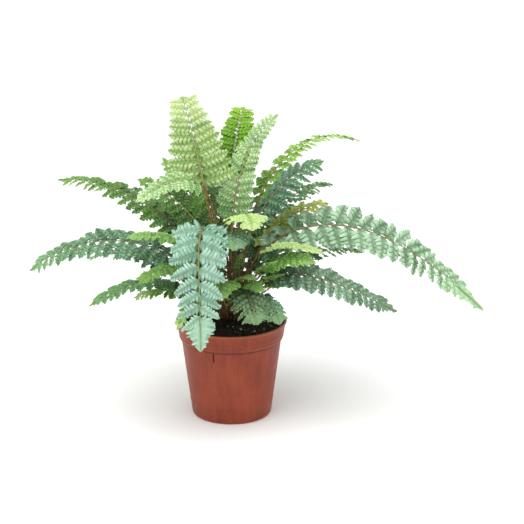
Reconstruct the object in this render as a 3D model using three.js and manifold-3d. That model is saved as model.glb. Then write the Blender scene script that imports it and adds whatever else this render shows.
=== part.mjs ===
// A clump-forming shield fern in a thin-walled plastic nursery pot.
// Millimetres, +Z up. The origin is the centre of the pot's underside, on the surface that the pot stands on,
// and -Y is the front. Azimuths are in degrees from +X, anticlockwise seen from above.
import * as THREE from "three";
import { mergeVertices } from "three/addons/utils/BufferGeometryUtils.js";
import Module from "manifold-3d";

const wasm = await Module();
wasm.setup();

// ---- Driving dimensions ---------------------------------------------------------------------------------

const POT = {
  height: 92, // a 10.5 cm nursery pot
  rimRadius: 52.5, // over the rolled lip
  lipHeight: 2,
  lipReach: 0.9, // how far the lip stands out from the band
  bandHeight: 17.5, // the lip and the band below it
  bandFootRadius: 48.6, // outside of the band where it steps in to the body
  stepIn: 1.3,
  footRadius: 38,
  footRound: 2.5,
  wall: 1.1,
  sides: 40,
};
const BASE = {
  padRadius: 9, // a flat pad in the middle of the underside
  channelHeight: 3, // the floor is raised between the pad and the foot ring, so that water can run off
  channelOuterRadius: 31,
  slope: 2, // how far its two sides slope
  drainHoles: 8,
  drainRadius: 3.4,
  drainCircle: 24,
  drainSides: 8,
};
const SLIT = { azimuth: 249, width: 1.2, height: 9, drop: 1.5, depth: 6 }; // a short slit below the band

const CLEAR = 0.3; // the gap kept between pieces that touch
const SOIL = {
  edgeHeight: 89.2, // at the pot's wall
  middleHeight: 97, // round the crown
  lump: 1.1, // how far the crumbs stand above or below the mound
  level: 1, // the width of the strip along the wall that stays level
  rings: 6,
  sides: 40,
};
const LUMPS = { counts: [5, 11, 17], drifts: [0.31, -0.47, 0.83], phases: [1.3, 2.7, 4.8] };
const CROWN = {
  radius: 17, // the scaly rootstock that the stems rise from
  top: 103,
  bottom: 86,
  outline: [[0, 0], [0.86, 0], [1, 0.35], [0.94, 0.65], [0.68, 0.9], [0, 1]], // shares of radius and height
  fall: 0.33, // how far its top falls towards its side, as a share of its height
  sides: 20,
  ridges: 7,
  ridgeDepth: 0.9,
};

const STEM = {
  sink: 6, // how deep a stem stands in its hole
  halfWidth: 1,
  tipHalfWidth: 0.4,
  thickness: 1.9,
  bladeThickness: 1.5,
  tipThickness: 0.7,
  youngShare: 0.75, // how slim a young frond's is beside the others
  bendLength: 18, // the length of one straight piece of it
};
const LEAFLET = {
  thickness: 0.62,
  footSlant: 80, // degrees between the midrib and the lowest leaflets
  tipSlant: 52,
  droop: 0.1, // how far its end hangs, as a share of its length
  tightening: 0.28, // how much closer leaflets stand towards the tip
  youngestAt: 0.88, // share of the blade that has leaflets; the rest is its undivided tip
};
const TIP = { reach: 0.45, shoulder: 0.2 }; // the undivided tip's half-width and where it is widest
const ROLLED_BY = 0.45; // the share of a frond's length by which its roll is complete
const CURVE_STEPS = 60;

// Half the outline of a blade, as shares of its greatest half-width: it widens from the foot, then tapers.
const BLADES = {
  lance: { footShare: 0.66, fullAt: 0.28, tipShare: 0.1, taper: 1.75 },
  wedge: { footShare: 0.85, fullAt: 0.14, tipShare: 0.12, taper: 1.35 },
  strap: { footShare: 0.7, fullAt: 0.3, tipShare: 0.1, taper: 1.9 },
  blunt: { footShare: 0.95, fullAt: 0.06, tipShare: 0.42, taper: 1.05 },
  oval: { footShare: 0.65, fullAt: 0.5, tipShare: 0.4, taper: 2.4 },
};
// Leaflet outlines as [share of its length, share across its strip of the blade from the side nearer the
// stem].
const LEAFLETS = {
  mature: [[0.56, 0.03], [0.88, 0.14], [1, 0.53], [0.58, 0.85]],
  fresh: [[0.55, 0.05], [0.86, 0.2], [1, 0.55], [0.56, 0.84]],
  young: [[0.66, 0.12], [1, 0.55], [0.52, 0.93]],
};
const LEAF_COLOURS = {
  mature: { color: 0x4f7f5c, roughness: 0.5 },
  fresh: { color: 0x7fae48, roughness: 0.5 },
  young: { color: 0xa9cc5c, roughness: 0.5 },
};

// One row for each frond:
//   x, y      where its stem stands in the crown
//   azimuth   the way it leans
//   rise      its lean from upright at the foot
//   droop     its lean from upright at the tip
//   bend      the share of its length where half of the turn from rise to droop is done
//   crook     1 for an even arch, more for a short bend
//   sweep     how far it turns sideways on its way out
//   roll      how far the blade is turned about its own midrib
//   stem      length of the bare stem
//   blade     length of the leafy part
//   width     of the blade at its widest
//   pairs     of leaflets
//   shape     of its blade
//   kind      how old it is
const FRONDS = [
  // x,   y, azim, rise, droop, bend, crook, sweep, roll, stem, blade, width, pairs, shape, kind
  // Tall fronds from the middle of the crown.
  [-5.5, -2, 170, 8, 16, 0.68, 1, 0, -79, 120, 85, 70, 10, "blunt", "fresh"],
  [-1, 9.5, 72, 1, 59, 0.82, 1, 0, 5, 126, 71, 36, 9, "oval", "fresh"],
  [-1, 4, 20, 1, 60, 0.8, 1, 0, 75, 86, 110, 38, 10, "wedge", "fresh"],
  [8, 6.5, 38, 4, 112, 0.61, 1.3, 0, 0, 98, 158, 38, 12, "wedge", "fresh"],
  [-5, 8, 124, 6, 56, 0.6, 1, 0, 0, 64, 130, 52, 10, "wedge", "fresh"],
  [-10, -4, 220, 1, 112, 0.65, 2.2, 0, -30, 131, 77, 34, 8, "wedge", "fresh"],
  [1, -5, 300, 5, 116, 0.7, 1.3, -25, 0, 101, 56, 48, 6, "wedge", "fresh"],
  [4, -8.5, 269, 2, 126, 0.7, 1.2, 0, -1, 85, 50, 38, 5, "lance", "mature"],
  [3.5, 5, 62, 6, 84, 0.56, 1, 0, 0, 50, 84, 44, 7, "lance", "mature"],
  [-5, -6, 201, 7, 101, 0.56, 1, 0, -10, 56, 86, 40, 7, "wedge", "fresh"],
  [-5.5, 4, 182, 5, 70, 0.6, 1, 0, -57, 72, 86, 40, 7, "wedge", "fresh"],
  [-9, 4.5, 159, 7, 43, 0.6, 1, 0, -47, 66, 90, 40, 7, "wedge", "fresh"],
  // Arching fronds round them.
  [7, -3, 356, 4, 131, 0.33, 1.7, -8, 42, 64, 236, 50, 15, "lance", "mature"],
  [5, 1, 4, 4, 74, 0.66, 1, 0, 25, 90, 84, 46, 7, "lance", "mature"],
  [10, 2.5, 20, 7, 92, 0.6, 1, 0, 18, 60, 84, 40, 7, "lance", "mature"],
  [8, 12.5, 53, 13, 106, 0.5, 1, 0, -2, 49, 154, 44, 9, "lance", "mature"],
  [-1, 14, 98, 12, 104, 0.5, 1, 4, 0, 46, 160, 46, 9, "lance", "mature"],
  [-10, 10, 143, 14, 100, 0.5, 1, 0, 1, 45, 158, 46, 9, "lance", "mature"],
  [-9.5, 2, 165, 12, 94, 0.5, 1, 4, -19, 53, 162, 42, 9, "lance", "mature"],
  [-14, -1, 184, 12, 128, 0.45, 1, 6, -30, 50, 162, 44, 9, "lance", "mature"],
  [-6.5, -9, 222, 5, 178, 0.49, 2.4, 74, 0, 101, 139, 60, 10, "lance", "mature"],
  // Low fronds, which lean over the rim.
  [13, -5, 341, 8, 111, 0.25, 1.95, -2, 28, 50, 122, 40, 10, "lance", "mature"],
  [3, -13.5, 288, 8, 140, 0.46, 1.5, 0, 0, 42, 50, 48, 6, "lance", "mature"],
  [10, -10.5, 302, 12, 140, 0.45, 1.2, 0, 0, 38, 46, 36, 5, "lance", "mature"],
  [8.5, -7, 328, 4, 102, 0.5, 1, 0, 25, 54, 60, 36, 7, "wedge", "fresh"],
  [9.5, -4.5, 328, 7, 98, 0.51, 1.9, 0, 5, 68, 67, 22, 9, "strap", "young"],
  [13, 7, 28, 26, 112, 0.42, 1, 0, 0, 30, 122, 40, 9, "lance", "mature"],
  [4, 15, 76, 26, 114, 0.46, 1, 0, 0, 31, 124, 42, 9, "lance", "mature"],
  [-7, 14, 118, 26, 118, 0.46, 1, 0, 0, 30, 124, 42, 9, "lance", "mature"],
  [-14, 5, 160, 26, 116, 0.46, 1, 0, 0, 30, 124, 42, 9, "lance", "mature"],
  [-13, -7, 209, 24, 119, 0.42, 1, 0, -1, 32, 116, 40, 9, "lance", "mature"],
  [-9.5, -8, 226, 10, 116, 0.5, 1, 0, 0, 50, 84, 36, 7, "lance", "mature"],
  [-1, -9.5, 262, 8, 120, 0.5, 1, 0, 0, 44, 52, 34, 5, "lance", "mature"],
  [-9, -12, 240, 18, 138, 0.45, 1, 0, 0, 38, 58, 22, 8, "strap", "young"],
  [1, 17, 94, 39, 112, 0.5, 1, 0, 2, 23, 62, 36, 7, "strap", "young"],
  [14, 4, 13, 32, 124, 0.5, 1, 0, -4, 34, 56, 34, 6, "strap", "young"],
  [-15.5, 1, 184, 39, 116, 0.5, 1, 0, 0, 24, 60, 34, 7, "strap", "young"],
].map(([x, y, azimuth, rise, droop, bend, crook, sweep, roll, stem, blade, width, pairs, shape, kind]) => {
  return { x, y, azimuth, rise, droop, bend, crook, sweep, roll, stem, blade, width, pairs, shape, kind };
});

// ---- Small helpers --------------------------------------------------------------------------------------

const lerp = THREE.MathUtils.lerp;
const smoothstep = THREE.MathUtils.smoothstep;
const degrees = Math.PI / 180;
const fullTurn = 2 * Math.PI;

function solidOf(geometry) {
  const bare = new THREE.BufferGeometry().setAttribute("position", geometry.getAttribute("position"));
  if (geometry.index) bare.setIndex(geometry.index);
  const merged = mergeVertices(bare);
  return new wasm.Manifold(
    new wasm.Mesh({
      numProp: 3,
      vertProperties: merged.attributes.position.array,
      triVerts: new Uint32Array(merged.index.array),
    }),
  );
}

function geometryOf(solid) {
  const mesh = solid.getMesh();
  return indexedGeometry(mesh.vertProperties, Array.from(mesh.triVerts));
}

function indexedGeometry(positions, triangles) {
  return new THREE.BufferGeometry()
    .setAttribute("position", new THREE.BufferAttribute(new Float32Array(positions), 3))
    .setIndex(triangles);
}

// A LatheGeometry turns a profile of [radius, height] about +Y. This stands it up on +Z.
function turned(profile, sides) {
  const points = profile.map(([radius, height]) => new THREE.Vector2(radius, height));
  return new THREE.LatheGeometry(points, sides).rotateX(Math.PI / 2);
}

// An upright cylinder with its middle at the given point.
function uprightCylinder(radius, height, sides, x, y, z) {
  return new THREE.CylinderGeometry(radius, radius, height, sides).rotateX(Math.PI / 2).translate(x, y, z);
}

// ---- Pot ------------------------------------------------------------------------------------------------

const bandTopRadius = POT.rimRadius - POT.lipReach;
const bandFootHeight = POT.height - POT.bandHeight;
const bodyTopRadius = POT.bandFootRadius - POT.stepIn;
const stepHeight = 1.5 * POT.stepIn; // the wall keeps its thickness round the step
const floorTop = BASE.channelHeight + POT.wall;

// Outside radius of the tapered body, and radius of the inner face, at a height.
function bodyRadius(height) {
  const share = (height - POT.footRound) / (bandFootHeight - POT.footRound);
  return lerp(POT.footRadius, bodyTopRadius, share);
}
function innerRadius(height) {
  if (height < bandFootHeight) return bodyRadius(height) - POT.wall;
  const share = (height - bandFootHeight) / (POT.height - bandFootHeight);
  return lerp(POT.bandFootRadius, bandTopRadius, share) - POT.wall;
}

function potGeometry() {
  const lipFoot = POT.height - POT.lipHeight;
  const outside = [
    [0, 0],
    [BASE.padRadius, 0],
    [BASE.padRadius + BASE.slope, BASE.channelHeight],
    [BASE.channelOuterRadius, BASE.channelHeight],
    [BASE.channelOuterRadius + BASE.slope, 0],
    [POT.footRadius - POT.footRound, 0],
    [POT.footRadius - 0.3 * POT.footRound, 0.3 * POT.footRound],
    [POT.footRadius, POT.footRound],
    [bodyTopRadius, bandFootHeight],
    [POT.bandFootRadius, bandFootHeight + 0.5 * POT.stepIn],
    [bandTopRadius, lipFoot],
    [POT.rimRadius, lipFoot + 0.3 * POT.lipHeight],
    [POT.rimRadius, POT.height - 0.3 * POT.lipHeight],
    [POT.rimRadius - 0.5 * POT.lipReach, POT.height],
  ];
  const inside = [
    [innerRadius(POT.height), POT.height],
    [innerRadius(bandFootHeight), bandFootHeight + stepHeight],
    [innerRadius(bandFootHeight - 1), bandFootHeight - 1],
    [innerRadius(floorTop), floorTop],
    [0, floorTop],
  ];
  let pot = solidOf(turned([...outside, ...inside], POT.sides));
  for (let i = 0; i < BASE.drainHoles; i++) {
    const angle = ((i + 0.5) * fullTurn) / BASE.drainHoles;
    const [x, y] = [BASE.drainCircle * Math.cos(angle), BASE.drainCircle * Math.sin(angle)];
    const drill = uprightCylinder(BASE.drainRadius, 3 * floorTop, BASE.drainSides, x, y, floorTop);
    pot = pot.subtract(solidOf(drill));
  }
  const slitTop = bandFootHeight - SLIT.drop;
  const slit = new THREE.BoxGeometry(SLIT.depth, SLIT.width, SLIT.height)
    .translate(bodyRadius(slitTop), 0, slitTop - SLIT.height / 2)
    .rotateZ(SLIT.azimuth * degrees);
  return geometryOf(pot.subtract(solidOf(slit)));
}

// ---- Soil and crown -------------------------------------------------------------------------------------

// Height of the mound of soil at a radius, before its crumbs.
function moundHeight(radius) {
  const share = radius / innerRadius(SOIL.edgeHeight);
  return lerp(SOIL.middleHeight, SOIL.edgeHeight, share * share);
}

function soilGeometry(sleeves) {
  const edge = innerRadius(SOIL.edgeHeight) - CLEAR;
  const foot = floorTop + CLEAR;
  const profile = [
    [0, foot],
    [innerRadius(foot) - CLEAR, foot],
    [innerRadius(bandFootHeight - 1) - 2 * CLEAR, bandFootHeight - 1],
    [innerRadius(bandFootHeight) - 2 * CLEAR, bandFootHeight + stepHeight],
    [edge, SOIL.edgeHeight],
  ];
  for (let i = 1; i <= SOIL.rings; i++) {
    const radius = edge * (1 - i / SOIL.rings);
    profile.push([radius, moundHeight(radius)]);
  }
  const geometry = turned(profile, SOIL.sides);
  crumble(geometry, edge);
  const recessHeight = 2 * (SOIL.middleHeight - CROWN.bottom);
  const recess = uprightCylinder(
    CROWN.radius + CLEAR, recessHeight, 2 * CROWN.sides, 0, 0, CROWN.bottom - CLEAR + recessHeight / 2,
  );
  let soil = solidOf(geometry).subtract(solidOf(recess));
  for (const sleeve of sleeves) soil = soil.subtract(sleeve);
  return geometryOf(soil);
}

// Raises and lowers the points of the soil's upper face, by waves that run round it and drift outwards.
function crumble(geometry, edge) {
  const position = geometry.getAttribute("position");
  for (let i = 0; i < position.count; i++) {
    const radius = Math.hypot(position.getX(i), position.getY(i));
    const angle = Math.atan2(position.getY(i), position.getX(i));
    const onTop = position.getZ(i) > SOIL.edgeHeight + CLEAR / 2 && radius < edge - SOIL.level;
    if (!onTop) continue;
    const waveAt = (k) => Math.sin(LUMPS.counts[k] * angle + LUMPS.drifts[k] * radius + LUMPS.phases[k]);
    const height = (SOIL.lump * (waveAt(0) + waveAt(1) + waveAt(2))) / 3;
    position.setZ(i, position.getZ(i) + height * Math.min(radius, 1));
  }
}

// A squat dome, ridged round its side by old leaf bases.
function crownGeometry(sleeves) {
  const profile = CROWN.outline.map(([r, h]) => [r * CROWN.radius, lerp(CROWN.bottom, CROWN.top, h)]);
  const geometry = turned(profile, CROWN.sides);
  const position = geometry.getAttribute("position");
  for (let i = 0; i < position.count; i++) {
    const angle = Math.atan2(position.getY(i), position.getX(i));
    const groove = 0.5 + 0.5 * Math.sin(CROWN.ridges * angle);
    const inset = 1 - (CROWN.ridgeDepth / CROWN.radius) * groove;
    position.setXY(i, position.getX(i) * inset, position.getY(i) * inset);
  }
  let crown = solidOf(geometry);
  for (const sleeve of sleeves) crown = crown.subtract(sleeve);
  return geometryOf(crown);
}

// Height of the crown's top at a radius, where a stem leaves it.
function crownTop(radius) {
  const share = radius / CROWN.radius;
  return CROWN.top - CROWN.fall * (CROWN.top - CROWN.bottom) * share * share;
}

// ---- Fronds ---------------------------------------------------------------------------------------------

// The midrib as a function of the distance along it from the stem's foot: a point, and the directions along
// it, across the blade to its left, and out of its upper face.
function midribOf(frond) {
  const length = STEM.sink + frond.stem + frond.blade;
  const step = length / CURVE_STEPS;
  const headingAt = (distance) => {
    const share = Math.max((distance - STEM.sink) / (length - STEM.sink), 0);
    const course = Math.min(share, 1) ** (Math.log(0.5) / Math.log(frond.bend));
    const turn = course ** frond.crook / (course ** frond.crook + (1 - course) ** frond.crook);
    const lean = lerp(frond.rise, frond.droop, turn) * degrees;
    const azimuth = (frond.azimuth + frond.sweep * share) * degrees;
    const [east, north] = [Math.cos(azimuth), Math.sin(azimuth)];
    return {
      along: new THREE.Vector3(Math.sin(lean) * east, Math.sin(lean) * north, Math.cos(lean)),
      level: new THREE.Vector3(-north, east, 0),
      roll: frond.roll * smoothstep(share, 0, ROLLED_BY) * degrees,
    };
  };
  const root = new THREE.Vector3(frond.x, frond.y, crownTop(Math.hypot(frond.x, frond.y)));
  const points = [root.addScaledVector(headingAt(0).along, -STEM.sink)];
  for (let i = 0; i < CURVE_STEPS; i++)
    points.push(points[i].clone().addScaledVector(headingAt((i + 0.5) * step).along, step));

  return (distance) => {
    const { along, level, roll } = headingAt(distance);
    const index = THREE.MathUtils.clamp(Math.floor(distance / step), 0, CURVE_STEPS);
    const point = points[index].clone().addScaledVector(along, distance - index * step);
    const across = level.clone().applyAxisAngle(along, roll);
    return { point, along, across, out: new THREE.Vector3().crossVectors(along, across) };
  };
}

// One closed mesh: a four-sided midrib, with leaflets growing from its two edges. Each point of a leaflet is
// a pair of vertices, on the upper and the lower face, and both faces are split into triangles alike.
class FrondMesh {
  constructor(frond) {
    this.frond = frond;
    this.midrib = midribOf(frond);
    this.bladeStart = STEM.sink + frond.stem;
    this.length = this.bladeStart + frond.blade;
    this.positions = [];
    this.triangles = [];
  }

  bladeShare(distance) {
    return (distance - this.bladeStart) / this.frond.blade;
  }

  // How far leaflets at a distance reach out from the midrib, and how far their slant carries them forward.
  reachAt(distance) {
    const { footShare, fullAt, tipShare, taper } = BLADES[this.frond.shape];
    const share = this.bladeShare(distance);
    const widening = lerp(footShare, 1, Math.sin(Math.min(share / fullAt, 1) * 0.5 * Math.PI));
    const tapering = lerp(1, tipShare, Math.max(share - fullAt, 0) / (1 - fullAt)) ** (1 / taper);
    return 0.5 * this.frond.width * widening * tapering - STEM.halfWidth;
  }
  carriedForward(distance, reach) {
    const slant = lerp(LEAFLET.footSlant, LEAFLET.tipSlant, this.bladeShare(distance));
    return reach / Math.tan(slant * degrees);
  }

  vertex(point) {
    this.positions.push(point.x, point.y, point.z);
    return this.positions.length / 3 - 1;
  }

  pair(distance, across, sag, thickness) {
    const at = this.midrib(distance);
    const middle = at.point.clone().addScaledVector(at.across, across).addScaledVector(at.out, -sag);
    const half = at.out.clone().multiplyScalar(thickness / 2);
    return {
      distance,
      across,
      top: this.vertex(middle.clone().add(half)),
      bottom: this.vertex(middle.clone().sub(half)),
    };
  }

  // A cross-section of the midrib: its left and right edges.
  station(distance) {
    const share = Math.max(this.bladeShare(distance), 0);
    const slimness = this.frond.kind === "young" ? STEM.youngShare : 1;
    const half = slimness * lerp(STEM.halfWidth, STEM.tipHalfWidth, share);
    const fullThickness = share > 0 ? lerp(STEM.bladeThickness, STEM.tipThickness, share) : STEM.thickness;
    const thickness = slimness * fullThickness;
    return {
      distance,
      half,
      left: this.pair(distance, half, 0, thickness),
      right: this.pair(distance, -half, 0, thickness),
    };
  }

  quad(a, b, c, d) {
    this.triangles.push(a, b, c, a, c, d);
  }

  wall(from, to) {
    this.quad(to.top, from.top, from.bottom, to.bottom);
  }

  midribFaces(near, far) {
    this.quad(near.left.top, near.right.top, far.right.top, far.left.top);
    this.quad(near.left.bottom, far.left.bottom, far.right.bottom, near.right.bottom);
  }

  // The faces of a leaf from its outline, which runs round it and starts with the edge on the midrib. That
  // edge has no wall.
  leaf(outline) {
    const contour = outline.map((point) => new THREE.Vector2(point.distance, point.across));
    const clockwise = THREE.ShapeUtils.area(contour) < 0;
    for (const [a, b, c] of THREE.ShapeUtils.triangulateShape(contour, [])) {
      const [p, q, r] = [outline[a], outline[clockwise ? c : b], outline[clockwise ? b : c]];
      this.triangles.push(p.top, q.top, r.top, p.bottom, r.bottom, q.bottom);
    }
    for (let i = 1; i < outline.length; i++) this.wall(outline[i], outline[(i + 1) % outline.length]);
  }

  // A leaflet between two stations, on the left (side 1) or the right (side -1).
  leaflet(near, far, side) {
    const edge = LEAFLETS[this.frond.kind].map(([out, across]) => {
      const foot = lerp(near.distance, far.distance, across);
      const reach = out * this.reachAt(foot);
      const distance = foot + this.carriedForward(foot, reach);
      return this.pair(distance, side * (near.half + reach), LEAFLET.droop * reach * out, LEAFLET.thickness);
    });
    if (side > 0) this.leaf([near.left, far.left, ...edge.reverse()]);
    else this.leaf([far.right, near.right, ...edge]);
  }

  // The undivided tip beyond the last station. Its sides start out along the last leaflets.
  tip(last) {
    const reach = TIP.reach * this.reachAt(last.distance);
    const beyond = TIP.shoulder * (this.length - last.distance);
    const widest = last.distance + this.carriedForward(last.distance, reach) + beyond;
    const left = this.pair(widest, last.half + reach, 0, LEAFLET.thickness);
    const right = this.pair(widest, -last.half - reach, 0, LEAFLET.thickness);
    const end = this.pair(this.length, 0, 0, LEAFLET.thickness);
    this.leaf([last.left, last.right, right, end, left]);
  }

  geometry() {
    const { frond } = this;
    const pieces = Math.ceil(frond.stem / STEM.bendLength);
    const stations = [this.station(0)];
    for (let i = 0; i <= pieces; i++)
      stations.push(this.station(STEM.sink + 1 + ((frond.stem - 1) * i) / pieces));
    const { left, right } = stations[0];
    this.quad(left.top, left.bottom, right.bottom, right.top);
    for (let i = 1; i < stations.length; i++) {
      const [near, far] = [stations[i - 1], stations[i]];
      this.midribFaces(near, far);
      this.wall(far.left, near.left);
      this.wall(near.right, far.right);
    }
    let near = stations.at(-1);
    for (let i = 1; i <= frond.pairs; i++) {
      const share = i / frond.pairs;
      const spaced = share * (1 + LEAFLET.tightening * (1 - share));
      const far = this.station(this.bladeStart + LEAFLET.youngestAt * frond.blade * spaced);
      this.midribFaces(near, far);
      this.leaflet(near, far, 1);
      this.leaflet(near, far, -1);
      near = far;
    }
    this.tip(near);
    return indexedGeometry(this.positions, this.triangles);
  }
}

// The hole that a stem stands in: a square tube along its foot, a little wider than the stem.
function sleeveOf(frond) {
  const midrib = midribOf(frond);
  const half = STEM.halfWidth + CLEAR;
  const depth = STEM.thickness / 2 + CLEAR;
  const corners = [[half, depth], [-half, depth], [-half, -depth], [half, -depth]];
  const distances = [-CLEAR, STEM.sink, 2 * STEM.sink, 4 * STEM.sink];
  const positions = distances.flatMap((distance) => {
    const at = midrib(distance);
    return corners.flatMap(([across, out]) => [
      ...at.point.clone().addScaledVector(at.across, across).addScaledVector(at.out, out),
    ]);
  });
  const triangles = [0, 2, 1, 0, 3, 2];
  for (let i = 0; i + 1 < distances.length; i++)
    for (let k = 0; k < 4; k++) {
      const [a, b] = [4 * i + k, 4 * i + ((k + 1) % 4)];
      triangles.push(a, b, b + 4, a, b + 4, a + 4);
    }
  const end = 4 * (distances.length - 1);
  triangles.push(end, end + 1, end + 2, end, end + 2, end + 3);
  return solidOf(indexedGeometry(positions, triangles));
}

// ---- The potted fern ------------------------------------------------------------------------------------

const plastic = new THREE.MeshStandardMaterial({ color: 0xa8492c, roughness: 0.55, metalness: 0 });
const peat = new THREE.MeshStandardMaterial({ color: 0x1d1712, roughness: 0.95, metalness: 0 });
const scales = new THREE.MeshStandardMaterial({ color: 0x4a3320, roughness: 0.9, metalness: 0 });
const foliage = {
  mature: new THREE.MeshStandardMaterial({ ...LEAF_COLOURS.mature, metalness: 0 }),
  fresh: new THREE.MeshStandardMaterial({ ...LEAF_COLOURS.fresh, metalness: 0 }),
  young: new THREE.MeshStandardMaterial({ ...LEAF_COLOURS.young, metalness: 0 }),
};

const fern = new THREE.Group();

function addPiece(name, geometry, material) {
  geometry.computeVertexNormals();
  const mesh = new THREE.Mesh(geometry, material);
  mesh.name = name;
  fern.add(mesh);
}

const sleeves = FRONDS.map(sleeveOf);
addPiece("pot", potGeometry(), plastic);
addPiece("soil", soilGeometry(sleeves), peat);
addPiece("crown", crownGeometry(sleeves), scales);
FRONDS.forEach((frond, i) => {
  const name = `frond_${String(i + 1).padStart(2, "0")}`;
  addPiece(name, new FrondMesh(frond).geometry(), foliage[frond.kind]);
});

export default fern;
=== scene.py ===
# A clump-forming shield fern in a terracotta-coloured nursery pot, dressed for the studio.
# Metres, +Z up, -Y towards the camera. Lengths in the tables are in millimetres.
import random
from collections import namedtuple
from math import atan2, cos, exp, hypot, log, pi, radians, sin, sqrt, tau

import bpy
import numpy as np
from mathutils import Matrix, Vector, kdtree, noise


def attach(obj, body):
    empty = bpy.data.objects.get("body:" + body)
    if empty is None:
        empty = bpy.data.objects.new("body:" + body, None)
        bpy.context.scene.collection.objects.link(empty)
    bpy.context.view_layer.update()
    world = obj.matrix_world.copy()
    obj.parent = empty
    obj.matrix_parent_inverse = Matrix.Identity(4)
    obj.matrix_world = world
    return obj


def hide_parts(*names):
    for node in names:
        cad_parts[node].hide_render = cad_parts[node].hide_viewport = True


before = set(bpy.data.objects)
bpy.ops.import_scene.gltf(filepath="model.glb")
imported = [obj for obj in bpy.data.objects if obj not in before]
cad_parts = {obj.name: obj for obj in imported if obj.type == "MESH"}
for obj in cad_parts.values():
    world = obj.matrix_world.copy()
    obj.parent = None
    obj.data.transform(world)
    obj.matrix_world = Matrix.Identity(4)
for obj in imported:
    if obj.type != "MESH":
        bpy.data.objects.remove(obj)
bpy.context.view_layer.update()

MM = 0.001
UP = Vector((0, 0, 1))

# ---- The fern's measures ----

POT_HEIGHT = 92
RIM_RADIUS = 52.5
BAND_FOOT_HEIGHT = 74.5
BAND_FOOT_RADIUS = 48.6
BODY_TOP_RADIUS = 47.3
FOOT_RADIUS = 38
WALL = 1.1
FLOOR_TOP = 4.1
BODY_FOOT_HEIGHT = 2.5
BAND_HEIGHT = 15.5
SLIT = {"azimuth": 249, "width": 1.2, "height": 9, "drop": 1.5, "depth": 6}
DRAIN = {"holes": 8, "radius": 3.4, "circle": 24}

SOIL_FOOT, SOIL_EDGE, SOIL_MIDDLE = 4.4, 89.2, 97
SOIL_RADIUS, MOUND_RADIUS = 50.1, 50.2
LUMPS_END, LUMPS_FADE = 50.4, 2.5
CROWN_RADIUS, CROWN_TOP, CROWN_BOTTOM, CROWN_FALL = 17, 103, 86, 0.33
CROWN_GAP = 0.3

STEM_SINK = 6  # how deep stems stand in the crown
STEM_RADIUS = {"mature": 1.15, "fresh": 1.15, "young": 0.75}
STEM_TIP = 0.32
STEM_SWELL, SWELL_LENGTH = 0.4, 12
USUAL_WIDTH = 46
BLADE_INSET = 1
FOOT_SLANT = 80
ROLLED_BY = 0.45  # share of a frond by which its roll is complete
TIGHTENING = 0.28  # how much closer leaflets stand towards the tip
LONGEST_APEX = 0.34
CURVE_STEPS = 60
LEAF_THICKNESS, SCALE_THICKNESS = 0.3, 0.12
LEAF_SMOOTHING = 42

# A blade's outline: the share of its width that it has at its foot, where it is full, the share
# left at its tip, how late it narrows, the slant of its last leaflets, as FOOT_SLANT is of the
# first, and what leaflets gain in width.
Outline = namedtuple("Outline", "foot_share full_at tip_share taper tip_slant overlap")
OUTLINES = {
    "lance": Outline(0.66, 0.28, 0.1, 1.75, 44, 0),
    "wedge": Outline(0.85, 0.14, 0.12, 1.35, 52, 0),
    "strap": Outline(0.7, 0.3, 0.1, 1.9, 52, 0),
    "blunt": Outline(0.95, 0.06, 0.32, 1.05, 72, 0),
    "oval": Outline(0.65, 0.5, 0.15, 2.4, 66, 0.3),
}

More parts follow.
